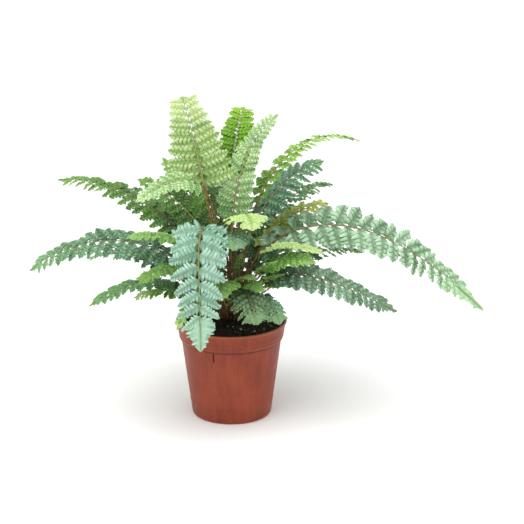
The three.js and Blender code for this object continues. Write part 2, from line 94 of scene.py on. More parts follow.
# Each frond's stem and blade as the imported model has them. It heads for azimuth, turning by sweep.
# It leans from upright by rise at its foot and by droop at its tip. bend is how far along the lean
# is half way, crook how sudden the bend, and roll turns the blade round the midrib. Then its look:
#   pinnae   pairs of leaflets
#   lobes    pairs of lobes on its longest leaflet
#   blunt    how blunt a leaflet ends, from 1, pointed, to 4, round
#   fold     degrees by which its leaflets stand up from the blade; less than 0 hangs down
#   hang     how far a leaflet's end hangs, as a share of its length
#   apex     share of the blade that is its undivided, toothed tip
#   crisp    how much its leaflets twist and curl, from 0 to 1
Frond = namedtuple(
    "Frond",
    "x y azimuth rise droop bend crook sweep roll stem blade width shape kind "
    "finish pinnae lobes blunt fold hang apex crisp",
)
FRONDS = [Frond(*row) for row in (
    (-5.5, -2, 170, 8, 16, 0.68, 1, 0, -79, 120, 85, 70, "blunt", "fresh",
     "pale_green", 11, 8, 3.8, 2, 0.08, 0.08, 0.25),
    (-1, 9.5, 72, 1, 59, 0.82, 1, 0, 5, 126, 71, 36, "oval", "fresh",
     "grass_green", 17, 5, 4, 4, 0.12, 0.1, 0.3),
    (-1, 4, 20, 1, 60, 0.8, 1, 0, 75, 86, 110, 38, "wedge", "fresh",
     "mint_green", 17, 6, 3.6, 4, 0.1, 0.12, 0.25),
    (8, 6.5, 38, 4, 112, 0.61, 1.3, 0, 0, 98, 158, 38, "wedge", "fresh",
     "lime", 21, 4, 2.4, 0, 0.15, 0.12, 0.3),
    (-5, 8, 124, 6, 56, 0.6, 1, 0, 0, 64, 130, 52, "wedge", "fresh",
     "mid_green", 14, 7, 2.4, 0, 0.1, 0.1, 0.3),
    (-10, -4, 220, 1, 112, 0.65, 2.2, 0, -30, 131, 77, 34, "wedge", "fresh",
     "mint_green", 10, 5, 2.4, 0, 0.14, 0.14, 0.3),
    (1, -5, 300, 5, 116, 0.7, 1.3, -25, 0, 101, 56, 48, "wedge", "fresh",
     "yellow_green", 8, 5, 2.2, 2, 0.14, 0.2, 0.4),
    (4, -8.5, 269, 2, 126, 0.7, 1.2, 0, -1, 85, 50, 38, "lance", "mature",
     "blue_green", 7, 5, 3, 4, 0.14, 0.26, 0.6),
    (3.5, 5, 62, 6, 84, 0.56, 1, 0, 0, 50, 84, 44, "lance", "mature",
     "deep_green", 9, 6, 3, 0, 0.12, 0.14, 0.5),
    (-5, -6, 201, 7, 101, 0.56, 1, 0, -10, 56, 86, 40, "wedge", "fresh",
     "fern_green", 10, 6, 2.6, 0, 0.12, 0.14, 0.3),
    (-5.5, 4, 182, 5, 70, 0.6, 1, 0, -57, 72, 86, 40, "wedge", "fresh",
     "mid_green", 11, 6, 2.4, 0, 0.1, 0.12, 0.3),
    (-9, 4.5, 159, 7, 43, 0.6, 1, 0, -47, 66, 90, 40, "wedge", "fresh",
     "fern_green", 12, 6, 2.4, 0, 0.1, 0.12, 0.3),
    (7, -3, 356, 4, 131, 0.33, 1.7, -8, 42, 64, 236, 50, "lance", "mature",
     "silver_green", 18, 5, 3.6, 6, 0.2, 0.24, 1),
    (5, 1, 4, 4, 74, 0.66, 1, 0, 25, 90, 84, 46, "lance", "mature",
     "dark_blue_green", 10, 6, 2.4, 4, 0.3, 0.16, 0.5),
    (10, 2.5, 20, 7, 92, 0.6, 1, 0, 18, 60, 84, 40, "lance", "mature",
     "olive", 10, 5, 2.8, 2, 0.16, 0.16, 0.6),
    (8, 12.5, 53, 13, 106, 0.5, 1, 0, -2, 49, 154, 44, "lance", "mature",
     "deep_green", 16, 5, 3, 2, 0.16, 0.12, 0.5),
    (-1, 14, 98, 12, 104, 0.5, 1, 4, 0, 46, 160, 46, "lance", "mature",
     "blue_green", 16, 5, 3, 2, 0.16, 0.12, 0.5),
    (-10, 10, 143, 14, 100, 0.5, 1, 0, 1, 45, 158, 46, "lance", "mature",
     "deep_green", 16, 5, 3, 2, 0.16, 0.12, 0.5),
    (-9.5, 2, 165, 12, 94, 0.5, 1, 4, -19, 53, 162, 42, "lance", "mature",
     "mid_green", 17, 5, 3, 2, 0.16, 0.12, 0.4),
    (-14, -1, 184, 12, 128, 0.45, 1, 6, -30, 50, 162, 44, "lance", "mature",
     "blue_green", 17, 5, 3, 4, 0.18, 0.12, 0.6),
    (-6.5, -9, 222, 5, 178, 0.49, 2.4, 74, 0, 101, 139, 60, "lance", "mature",
     "pale_blue_green", 9, 9, 2.4, 3, 0.12, 0.34, 1),
    (13, -5, 341, 8, 111, 0.25, 1.95, -2, 28, 50, 122, 40, "lance", "mature",
     "grey_green", 14, 4, 3.6, 6, 0.2, 0.24, 0.9),
    (3, -13.5, 288, 8, 140, 0.46, 1.5, 0, 0, 42, 50, 48, "lance", "mature",
     "sage", 6, 5, 1.9, 2, 0.18, 0.34, 0.9),
    (10, -10.5, 302, 12, 140, 0.45, 1.2, 0, 0, 38, 46, 36, "lance", "mature",
     "blue_green", 5, 5, 2, 4, 0.18, 0.32, 0.9),
    (8.5, -7, 328, 4, 102, 0.5, 1, 0, 25, 54, 60, 36, "wedge", "fresh",
     "fern_green", 8, 4, 2.6, 2, 0.14, 0.18, 0.3),
    (9.5, -4.5, 328, 7, 98, 0.51, 1.9, 0, 5, 68, 67, 22, "strap", "young",
     "yellow_green", 10, 3, 2.4, 4, 0.1, 0.14, 0.2),
    (13, 7, 28, 26, 112, 0.42, 1, 0, 0, 30, 122, 40, "lance", "mature",
     "deep_green", 13, 5, 3, 2, 0.16, 0.14, 0.5),
    (4, 15, 76, 26, 114, 0.46, 1, 0, 0, 31, 124, 42, "lance", "mature",
     "blue_green", 13, 5, 3, 2, 0.16, 0.14, 0.5),
    (-7, 14, 118, 26, 118, 0.46, 1, 0, 0, 30, 124, 42, "lance", "mature",
     "deep_green", 13, 5, 3, 2, 0.16, 0.14, 0.5),
    (-14, 5, 160, 26, 116, 0.46, 1, 0, 0, 30, 124, 42, "lance", "mature",
     "blue_green", 13, 5, 3, 2, 0.16, 0.14, 0.5),
    (-13, -7, 209, 24, 119, 0.42, 1, 0, -1, 32, 116, 40, "lance", "mature",
     "deep_green", 13, 5, 3, 2, 0.16, 0.14, 0.5),
    (-9.5, -8, 226, 10, 116, 0.5, 1, 0, 0, 50, 84, 36, "lance", "mature",
     "mid_green", 10, 5, 3, 2, 0.14, 0.16, 0.4),
    (-1, -9.5, 262, 8, 120, 0.5, 1, 0, 0, 44, 52, 34, "lance", "mature",
     "fern_green", 6, 5, 3, 2, 0.14, 0.26, 0.4),
    (-9, -12, 240, 18, 138, 0.45, 1, 0, 0, 38, 58, 22, "strap", "young",
     "lime", 8, 3, 2.4, 4, 0.12, 0.16, 0.2),
    (1, 17, 94, 39, 112, 0.5, 1, 0, 2, 23, 62, 36, "strap", "young",
     "mid_green", 9, 4, 2.6, 2, 0.12, 0.16, 0.3),
    (14, 4, 13, 32, 124, 0.5, 1, 0, -4, 34, 56, 34, "strap", "young",
     "grass_green", 8, 4, 2.6, 2, 0.12, 0.16, 0.3),
    (-15.5, 1, 184, 39, 116, 0.5, 1, 0, 0, 24, 60, 34, "strap", "young",
     "lime", 9, 4, 2.6, 2, 0.12, 0.16, 0.3),
)]

# Colours of a leaf's grooves and of its lobes' crests, which on the upper face are painted shade and
# a painted highlight, of its growing end and its veins, and its roughness.
Leaf = namedtuple("Leaf", "groove crest tip vein gloss")
LEAVES = {
    "pale_green": Leaf("#6c9842", "#c6de98", "#d4e6aa", "#c9c98a", 0.46),
    "grass_green": Leaf("#2f6405", "#82ba20", "#98c838", "#8db840", 0.42),
    "mint_green": Leaf("#568a3c", "#bcdc9c", "#c8e4ac", "#c2d8a4", 0.44),
    "lime": Leaf("#447a14", "#93c247", "#c6e29c", "#a8ca66", 0.44),
    "fern_green": Leaf("#467e24", "#90c060", "#9cc66e", "#98bc6e", 0.44),
    "mid_green": Leaf("#1c460c", "#629238", "#7cac4c", "#80a454", 0.44),
    "yellow_green": Leaf("#94b856", "#bcd68e", "#c2da98", "#c4d28e", 0.5),
    "olive": Leaf("#6e8a30", "#bac85e", "#c6ca6c", "#b0a456", 0.46),
    "blue_green": Leaf("#1f4a30", "#74a278", "#88b47e", "#8aa276", 0.36),
    "deep_green": Leaf("#1d431f", "#588c4e", "#74a660", "#7e9c66", 0.38),
    "sage": Leaf("#1f4222", "#7ea272", "#8cb07c", "#8a9e6c", 0.38),
    "pale_blue_green": Leaf("#588c70", "#a6ccb8", "#b4dcbe", "#a3b082", 0.4),
    "silver_green": Leaf("#487650", "#b0d2ae", "#b2daa6", "#a39c7a", 0.38),
    "grey_green": Leaf("#44694e", "#8eb292", "#527454", "#8c9a78", 0.36),
    "dark_blue_green": Leaf("#183c28", "#5f8f68", "#719c70", "#758e66", 0.36),
}

# ---- Shader maths ----

LEAF_DATA = "leaflet"  # a leaf's UV map: place along its lobes, and share across, from -1 to 1
# The third value, how high or sunk a point lies, becomes painted highlight and painted shade in the
# leaf's colour.
LEAF_POINTS = "leaflet_tones"  # its own tone, how near the frond's tip it is, and raised or sunk
SIDE_VEIN = 0.52  # where along each lobe its side vein runs


def colour(code):
    """A colour such as #7fae48, as the shader's linear red, green, blue and alpha."""
    shares = (int(code[i : i + 2], 16) / 255 for i in (1, 3, 5))
    return (*(s / 12.92 if s <= 0.04045 else ((s + 0.055) / 1.055) ** 2.4 for s in shares), 1)


class Value:
    """A socket that adds Math nodes when it is used in an expression."""

    def __init__(self, finish, socket):
        self.finish, self.socket = finish, socket

    def maths(self, operation, *operands):
        return self.finish.node("Math", {"operation": operation}, dict(enumerate(operands)))

    def __add__(self, other):
        return self.maths("ADD", self, other)

    def __sub__(self, other):
        return self.maths("SUBTRACT", self, other)

    def __rsub__(self, other):
        return self.maths("SUBTRACT", other, self)

    def __mul__(self, other):
        return self.maths("MULTIPLY", self, other)

    def __abs__(self):
        return self.maths("ABSOLUTE", self)

    def __mod__(self, other):
        return self.maths("FLOORED_MODULO", self, other)

    __radd__, __rmul__ = __add__, __mul__


class Finish:
    """A material made of nodes. node() adds any node, and wear() links values to the shader."""

    def __init__(self, name, shine=0.35, **constants):
        self.material = bpy.data.materials.new(name)
        self.material.use_nodes = True
        self.nodes = self.material.node_tree.nodes
        self.shader = self.nodes["Principled BSDF"]
        self.wear(Specular_IOR_Level=shine, **constants)
        self.where = self.node("TexCoord", out="Object")

    def node(self, kind, settings=None, sockets=None, out=0):
        made = self.nodes.new("ShaderNode" + kind)
        for setting, value in (settings or {}).items():
            setattr(made, setting, value)
        for socket, value in (sockets or {}).items():
            self.join(value, made.inputs[socket])
        if out is None:
            return [Value(self, output) for output in made.outputs]
        return Value(self, made.outputs[out])

    def join(self, value, socket):
        if isinstance(value, Value):
            self.material.node_tree.links.new(value.socket, socket)
        else:
            socket.default_value = value

    def wear(self, **sockets):
        for socket, value in sockets.items():
            self.join(value, self.shader.inputs[socket.replace("_", " ")])
        return self.material

    def parts(self, vector):
        return self.node("SeparateXYZ", None, {0: vector}, out=None)

    def clouds(self, per_metre, detail, roughness=0.55, stretch=None):
        where = self.where
        if stretch:
            sockets = {0: where, 1: (1, 1, stretch)}
            where = self.node("VectorMath", {"operation": "MULTIPLY"}, sockets)
        sockets = {"Vector": where, "Scale": per_metre, "Detail": detail, "Roughness": roughness}
        return self.node("TexNoise", None, sockets)

    def rising(self, value, low, high):
        """0 below low, 1 above high, and smooth between."""
        sockets = {"Value": value, "From Min": low, "From Max": high}
        return self.node("MapRange", {"interpolation_type": "SMOOTHSTEP"}, sockets)

    def falling(self, value, low, high):
        return 1 - self.rising(value, low, high)

    def mixed(self, share, first, second):
        first, second = (colour(c) if isinstance(c, str) else c for c in (first, second))
        # A Mix node's colours are its inputs 6 and 7, and its output 2.
        return self.node("Mix", {"data_type": "RGBA"}, {0: share, 6: first, 7: second}, out=2)

    def bumped(self, height, depth, strength):
        sockets = {"Height": height, "Distance": depth, "Strength": strength}
        return self.node("Bump", None, sockets)

    def leaf_points(self):
        """What LEAF_POINTS holds."""
        data = self.node("Attribute", {"attribute_name": LEAF_POINTS}, out="Vector")
        return self.parts(data)

    def off_veins(self):
        """How far a place is from its lobe's side vein, and from the midvein."""
        along, across, _ = self.parts(self.node("UVMap", {"uv_map": LEAF_DATA}))
        return abs(along % 1 - SIDE_VEIN), abs(across)


# ---- Finishes ----

LEAF_RELIEF = 0.0004, 0.6  # depth in metres, and strength


def leaf_finish(name, leaf):
    """The upper face: lobes whose crests carry a painted highlight between grooves darkened with
    painted shade, a midvein, and a vein to each lobe.
    """
    finish = Finish(name, shine=0.5)
    tone, ripeness, crest = finish.leaf_points()
    aside, out = finish.off_veins()
    midvein = finish.falling(out, 0.03, 0.11)
    sidevein = finish.falling(aside, 0.03, 0.11) * finish.falling(out, 0.6, 0.95)
    mottle = finish.clouds(420, 4)
    patches = finish.clouds(60, 2)
    foot = finish.falling(ripeness, 0, 0.4)
    # Painted highlight on the lobes' crests and painted shade in the grooves, mixed with mottled
    # tone and a darker foot of the frond.
    highlight_and_tone = crest + mottle * 0.4 + tone * 0.4 + patches * 0.3 - foot * 0.3 - 0.6
    body = finish.mixed(finish.rising(highlight_and_tone, 0.05, 1), leaf.groove, leaf.crest)
    grown = finish.mixed(finish.rising(ripeness, 0.55, 1.05) * 0.7, body, leaf.tip)
    # Painted highlight along each leaflet's edge: its margin is lightened towards the tip colour.
    edge_highlit = finish.mixed(finish.rising(out, 0.8, 1) * 0.22, grown, leaf.tip)
    relief = mottle * 0.35 - midvein * 0.9 - sidevein * 0.35 + crest * 0.4
    return finish.wear(
        Base_Color=finish.mixed(midvein * 0.4 + sidevein * 0.14, edge_highlit, leaf.vein),
        Roughness=leaf.gloss + mottle * 0.22 - crest * 0.06,
        Normal=finish.bumped(relief, *LEAF_RELIEF),
    )


def underside_finish(name, leaf):
    """The lower face: paler and matt, with the veins standing out."""
    finish = Finish(name, shine=0.3)
    tone, _, crest = finish.leaf_points()
    aside, out = finish.off_veins()
    veins = 1 - finish.rising(out, 0.04, 0.14) * finish.rising(aside, 0.03, 0.12)
    mottle = finish.clouds(500, 3)
    body = finish.mixed(mottle * 0.6 + tone * 0.4, leaf.groove, leaf.crest)
    pale = finish.mixed(0.35, body, "#a9b98c")
    return finish.wear(
        Base_Color=finish.mixed(veins * 0.4, pale, leaf.vein),
        Roughness=0.62 + mottle * 0.15,
        Normal=finish.bumped(veins * 0.8 + mottle * 0.3 - crest * 0.3, *LEAF_RELIEF),
    )


def stem_finish(name, foot, middle, tip):
    """A ribbed stalk, brown at its foot and greener towards the tip."""
    finish = Finish(name, shine=0.4)
    tone, ripeness, _ = finish.leaf_points()
    streaks = finish.clouds(900, 3, stretch=0.16)
    lower = finish.mixed(finish.rising(ripeness, 0.02, 0.42), foot, middle)
    upper = finish.mixed(finish.rising(ripeness, 0.4, 0.95), lower, tip)
    flecked = finish.mixed(finish.rising(streaks, 0.5, 0.72) * 0.5, upper, foot)
    return finish.wear(
        Base_Color=finish.mixed(tone * 0.2, flecked, middle),
        Roughness=0.5 + streaks * 0.2,
        Normal=finish.bumped(streaks, 0.0005, 0.7),
    )


def scale_finish(name, dark, light):
    """Papery scales, each its own brown."""
    finish = Finish(name)
    tone = finish.leaf_points()[0]
    grain = finish.clouds(1500, 3)
    return finish.wear(
        Base_Color=finish.mixed(tone * 0.75 + grain * 0.35 - 0.05, dark, light),
        Roughness=0.55 + grain * 0.2,
        Normal=finish.bumped(grain, 0.0003, 0.6),
    )


def pot_finish():
    """Moulded terracotta-coloured plastic, with faint flow marks, scuffs and patchy dust, a painted
    highlight on the lip, and painted shade under the band.
    """
    finish = Finish("pot_plastic")
    height = finish.parts(finish.where)[2]

    def above(low, high):
        return finish.rising(height, low * MM, high * MM)

    def below(low, high):
        return finish.falling(height, low * MM, high * MM)

    flow = finish.clouds(150, 3, stretch=0.12)
    cloud = finish.clouds(34, 3)
    dust = finish.clouds(260, 5, 0.65)
    speck = finish.clouds(900, 2)
    rubs = finish.clouds(70, 6, 0.7, stretch=5)
    scuffed = finish.rising(rubs, 0.54, 0.74)
    body = finish.mixed(finish.rising(flow * 0.5 + cloud * 0.5, 0.3, 0.7), "#7a2d18", "#963f21")
    rim = above(POT_HEIGHT - 3.5, POT_HEIGHT - 0.5)
    # Painted highlight on the lip, mixed towards a pale terracotta; scuffs lighten the body the same
    # way as wear.
    rim_highlit_and_scuffed = finish.mixed(rim * 0.4 + scuffed * 0.22, body, "#b8694c")
    low = below(2, 30)
    fold = BAND_FOOT_HEIGHT
    # Painted shade under the band: a patchy darkening in the dust's patches just below its foot, and
    # a dark painted shadow line at the step.
    under_band_shade = above(fold - 8.5, fold - 0.3) * below(fold, fold + 2)
    band_shadow_line = above(fold - 2.3, fold - 0.3) * below(fold + 0.1, fold + 0.7)
    # Dust at the lip and towards the foot, together with the painted shade under the band, in one
    # dark brown and rougher.
    dust_and_band_shade = finish.rising(dust, 0.56, 0.74) * (0.12 + rim * 0.4 + low * 0.25 + under_band_shade * 0.5)
    # The painted shadow line goes over them in a deep red-brown.
    dusty_and_shaded = finish.mixed(band_shadow_line * 0.75, finish.mixed(dust_and_band_shade, rim_highlit_and_scuffed, "#3a2a20"), "#35130b")
    return finish.wear(
        Base_Color=finish.mixed(finish.rising(speck, 0.72, 0.78) * 0.5, dusty_and_shaded, "#2c211a"),
        Roughness=0.38 + dust * 0.18 + dust_and_band_shade * 0.4 + scuffed * 0.2,
        Normal=finish.bumped(flow * 0.6 + dust * 0.25, 0.0003, 0.35),
    )


def peat_finish():
    """Damp black peat: dark crumbs with brown, fibrous ones between them."""
    finish = Finish("peat")
    crumbs = finish.node("TexVoronoi", None, {"Vector": finish.where, "Scale": 520})
    cloud = finish.clouds(90, 4)
    grain = finish.clouds(1100, 4, 0.65)
    brown = finish.mixed(finish.rising(cloud, 0.38, 0.72), "#0e0a08", "#2c2018")
    return finish.wear(
        Base_Color=finish.mixed(finish.rising(grain, 0.6, 0.8) * 0.6, brown, "#54402c"),
        Roughness=0.74 + grain * 0.24,
        Normal=finish.bumped(grain + crumbs * 0.8, 0.0009, 0.9),
    )


def speck_finish(name, dark, light, roughness):
    """Small loose bits, in patches of two tones."""
    finish = Finish(name)
    patch = finish.clouds(170, 2)
    grain = finish.clouds(1300, 4, 0.6)
    return finish.wear(
        Base_Color=finish.mixed(patch * 0.7 + grain * 0.45 - 0.1, dark, light),
        Roughness=roughness + grain * 0.15,
        Normal=finish.bumped(grain, 0.0006, 0.8),
    )


# ---- Making and finishing pieces ----


def placed(name, data):
    """A new object that shows this mesh, lamp or camera."""
    made = bpy.data.objects.new(name, data)
    bpy.context.scene.collection.objects.link(made)
    return made


def only(piece):
    """Selects this piece alone."""
    bpy.ops.object.select_all(action="DESELECT")
    piece.select_set(True)
    bpy.context.view_layer.objects.active = piece


def modified(piece, kind, **settings):
    only(piece)
    bpy.ops.object.modifier_add(type=kind)
    modifier = piece.modifiers[-1]
    for name, value in settings.items():
        setattr(modifier, name, value)
    bpy.ops.object.modifier_apply(modifier=modifier.name)


def joined(pieces, name):
    only(pieces[0])
    for piece in pieces[1:]:
        piece.select_set(True)
    bpy.ops.object.join()
    pieces[0].name = pieces[0].data.name = name
    return pieces[0]


def coated(piece, material):
    piece.data.materials.clear()
    piece.data.materials.append(material)


def kept(piece, smooth_below, slot, *nodes):
    """Smooths a piece, puts it in the fern, and hides the solids that it stands for."""
    only(piece)
    bpy.ops.object.shade_smooth_by_angle(angle=radians(smooth_below))
    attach(piece, "root")
    if nodes:
        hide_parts(*nodes)


class Sheet:
    """Points and faces of one piece, with the leaf's own coordinates at each point."""

    def __init__(self):
        self.points, self.faces, self.uvs, self.data = [], [], [], []

    def point(self, place, data=(0.5, 0.5, 0.5), uv=(0, 0)):
        self.points.append(place)
        self.data.append(data)
        self.uvs.append(uv)
        return len(self.points) - 1

    def face(self, corners, turned=False):
        self.faces.append(tuple(reversed(corners)) if turned else tuple(corners))

    def tube(self, rings):
        """Joins rings of points, and closes both ends."""
        for near, far in zip(rings, rings[1:]):
            for k in range(len(near)):
                j = (k + 1) % len(near)
                self.face((near[k], near[j], far[j], far[k]))
        self.face(rings[0], turned=True)
        self.face(rings[-1])

    def piece(self, name, *materials):
        mesh = bpy.data.meshes.new(name)
        mesh.from_pydata([p * MM for p in self.points], [], self.faces)
        corner_points = np.empty(len(mesh.loops), np.int32)
        mesh.loops.foreach_get("vertex_index", corner_points)
        uvs = mesh.uv_layers.new(name=LEAF_DATA)
        uvs.data.foreach_set("uv", np.array(self.uvs, np.float32)[corner_points].ravel())
        data = mesh.attributes.new(LEAF_POINTS, "FLOAT_COLOR", "POINT")
        data.data.foreach_set("color", np.array([(*d, 1) for d in self.data], np.float32).ravel())
        for material in materials:
            mesh.materials.append(material)
        return placed(name, mesh)


# ---- Stems and blades ----


def lerp(low, high, share):
    return low + (high - low) * share


def clamped(share):
    return min(max(share, 0), 1)


def ease(share):
    share = clamped(share)
    return share * share * (3 - 2 * share)


def polar(radius, angle):
    return radius * cos(angle), radius * sin(angle)


def leaning(first, second, angle):
    """The direction at an angle from the first towards the second."""
    return first * cos(angle) + second * sin(angle)


def squared(direction, axis):
    """The direction, set square to an axis."""
    return (direction - axis * direction.dot(axis)).normalized()


def turned(first, second, angle):
    """Two directions or measures at right angles, turned together."""
    return leaning(first, -second, angle), leaning(second, first, angle)


def crown_top(radius):
    share = radius / CROWN_RADIUS
    return CROWN_TOP - CROWN_FALL * (CROWN_TOP - CROWN_BOTTOM) * share * share


class Midrib:
    """A frond's stem and midrib as one bent line."""

    def __init__(self, frond):
        self.frond = frond
        self.blade_start = STEM_SINK + frond.stem
        self.length = self.blade_start + frond.blade
        self.step = self.length / CURVE_STEPS
        root = Vector((frond.x, frond.y, crown_top(hypot(frond.x, frond.y))))
        self.points = [root - STEM_SINK * self.heading(0)[0]]
        for i in range(CURVE_STEPS):
            self.points.append(self.points[i] + self.step * self.heading((i + 0.5) * self.step)[0])

    def heading(self, distance):
        """The directions along the midrib and to its left, at a distance."""
        frond = self.frond
        share = clamped((distance - STEM_SINK) / (self.length - STEM_SINK))
        course = share ** (log(0.5) / log(frond.bend))
        turn = course**frond.crook / (course**frond.crook + (1 - course) ** frond.crook)
        lean = radians(lerp(frond.rise, frond.droop, turn))
        azimuth = radians(frond.azimuth + frond.sweep * share)
        east, north = cos(azimuth), sin(azimuth)
        along = Vector((sin(lean) * east, sin(lean) * north, cos(lean)))
        roll = radians(frond.roll * ease(share / ROLLED_BY))
        return along, Matrix.Rotation(roll, 3, along) @ Vector((-north, east, 0))

    def at(self, distance):
        """The point there, and the directions along, to the left, and out of the upper face."""
        along, across = self.heading(distance)
        index = min(max(int(distance / self.step), 0), CURVE_STEPS)
        point = self.points[index] + along * (distance - index * self.step)
        return point, along, across, along.cross(across)

    def share(self, distance):
        return (distance - self.blade_start) / self.frond.blade

    def reach(self, distance):
        """How far leaflets reach out to the side of the midrib."""
        outline = OUTLINES[self.frond.shape]
        share = self.share(distance)
        early = min(max(share, 0) / outline.full_at, 1)
        late = max(share - outline.full_at, 0) / (1 - outline.full_at)
        widening = lerp(outline.foot_share, 1, sin(early * pi / 2))
        tapering = max(lerp(1, outline.tip_share, late), 0.01) ** (1 / outline.taper)
        return 0.5 * self.frond.width * widening * tapering - BLADE_INSET

    def radius(self, distance):
        thick = STEM_RADIUS[self.frond.kind] * lerp(0.75, 1, self.frond.width / USUAL_WIDTH)
        swelling = 1 + STEM_SWELL * exp(-distance / SWELL_LENGTH)
        return lerp(thick, STEM_TIP, max(self.share(distance), 0) ** 0.5) * swelling


# Where the edge's points lie along one lobe. The lobes of the two sides stand half a lobe apart.
LOBE_POINTS = (0, 0.13, 0.33, 0.5, 0.67, 0.87)
ALTERNATE = 0.5
CREST_LINE = 0.56  # where the lobes' crests run, as a share of the way out to the edge
SPINE_SINK = 0.05  # how deep the spine lies, as a share of half the width
LAST_ROW, LAST_FULLNESS = 0.965, 0.75

# A leaflet, or a frond's undivided tip: its foot, the directions out along it, to its tip side
# and up, its size, and the side of the midrib that it is on: 1 left, -1 right, 0 for a tip.
Leaflet = namedtuple("Leaflet", "root outward forward up length half_width lobes side")


def lobed_leaflet(sheet, leaflet, frond, ripeness, chance):
    """A leaflet's upper face. ripeness is how near the frond's tip it is, from 0 to 1."""
    draw = chance.uniform
    root, outward, forward, up, length, half_width, lobes, side = leaflet
    flip = outward.cross(forward).dot(up) < 0
    tone = chance.random()
    crisp = frond.crisp * (1 - 0.6 * ripeness if side else 0.3)
    # Leaflets curl, and are cut into lobes. A tip is nearly straight, and only toothed.
    curl, roundness, bulge = (0.9, 3, 0.3 - 0.08 * crisp) if side else (0.1, 1.5, 0.18)
    depth = lerp(0.56, 0.74, min(lobes / 8, 1)) * (1 - 0.45 * crisp) if side else 0.34
    twist = radians(draw(-10, 10) + crisp * draw(-26, 26))
    bend = 0.05 + 2 * frond.hang * draw(0.5, 1.6) + crisp * draw(0, curl)
    hook = draw(0.02, 0.1) if side else 0
    ruffle = draw(0, tau)
    ruffle_height = (0.06 + 0.12 * crisp) * half_width
    lobe_rise = min(half_width, 1.2 * length / lobes)
    looks = [(draw(0.8, 1.12), draw(-1, 1), chance.random()) for _ in range(2 * lobes + 4)]

    def put(out, width, lift, uv, crest, shade):
        """Adds a point, bent, twisted and hooked with the leaflet."""
        t = out / length
        width, lift = turned(width, lift, twist * t)
        turn = bend * t
        ahead = length / bend * sin(turn) + lift * sin(turn)
        above = lift * cos(turn) - length / bend * (1 - cos(turn))
        place = root + outward * ahead + forward * (width + hook * length * t * t) + up * above
        # Painted shade: the crest value, which sets how light the colour is, drops towards the
        # leaflet's foot, where the next leaflet overlaps it.
        crest *= lerp(0.5, 1, ease(t / 0.22))
        return sheet.point(place, (shade, ripeness + 0.12 * t, crest), uv)

    def row(t, phase, fullness=0):
        """The points across the leaflet: edge, lobe's crest, spine, crest and edge."""
        body = max(1 - t**frond.blunt, 0) ** 0.75 * lerp(0.86, 1, ease(t / 0.25))
        notch = lerp(1 - depth, 1 - 0.55 * depth, t)
        base = lerp(0.5, 1, ease(phase / 0.4))
        skew = lerp(0.42, 0.15, t)
        halves = []
        for turn in (-1, 1):
            place = phase + (ALTERNATE if turn > 0 else 0)
            full = fullness or (1 - abs(2 * (place % 1) - 1) ** roundness) ** 0.8
            size, lean, hue = looks[2 * int(place) + (turn > 0)]
            ear = 1 + 0.3 * full if side and turn > 0 and place < 2 else 1
            edge = half_width * body * lerp(notch, 1, full) * ear * base * (1 + (size - 1) * full)
            wave = ruffle_height * sin(ruffle + 2.3 * phase + turn)
            drop = (0.2 + 0.06 * crisp) * edge * full
            edge_lift = wave - drop + (0.1 + 0.3 * crisp) * half_width * lean * full
            crest_lift = lobe_rise * body * (bulge * full - 0.07) + wave * 0.4
            # Each point's crest value sets its painted highlight: full on a lobe's crest, less at
            # its edge, and least at the notches, which get painted shade.
            for share, lift, crest in (
                (1, edge_lift, 0.25 + 0.5 * full),
                (CREST_LINE, crest_lift, lerp(0.1 + 0.3 * crisp, 1, full)),
            ):
                out = min(t * length + skew * (share * edge), 0.99 * length)
                uv, shade = (place, turn * share), 0.6 * tone + 0.4 * hue
                halves.append(put(out, turn * (share * edge), lift, uv, crest, shade))
        spine = put(t * length, 0, -SPINE_SINK * half_width, (phase, 0), 0.3, tone)
        return halves[0], halves[1], spine, halves[3], halves[2]

    rows = []
    for k in range(lobes):
        start, end = (i / lobes * (1.22 - 0.22 * i / lobes) * 0.93 for i in (k, k + 1))
        rows += [row(lerp(start, end, place), k + place) for place in LOBE_POINTS]
    rows.append(row(LAST_ROW, lobes, LAST_FULLNESS))
    for near, far in zip(rows, rows[1:]):
        for k in range(4):
            sheet.face((near[k], far[k], far[k + 1], near[k + 1]), flip)
    end = put(length, 0, -SPINE_SINK * half_width, (lobes + 0.5, 0), 0.6, tone)
    for k in range(4):
        sheet.face((rows[-1][k], end, rows[-1][k + 1]), flip)


# A pair's leaflets: the side of the midrib, and how far along the pair's room each one stands.
PAIR = ((1, 0.62), (-1, 0.38))
LEAFLET_TILT = 15


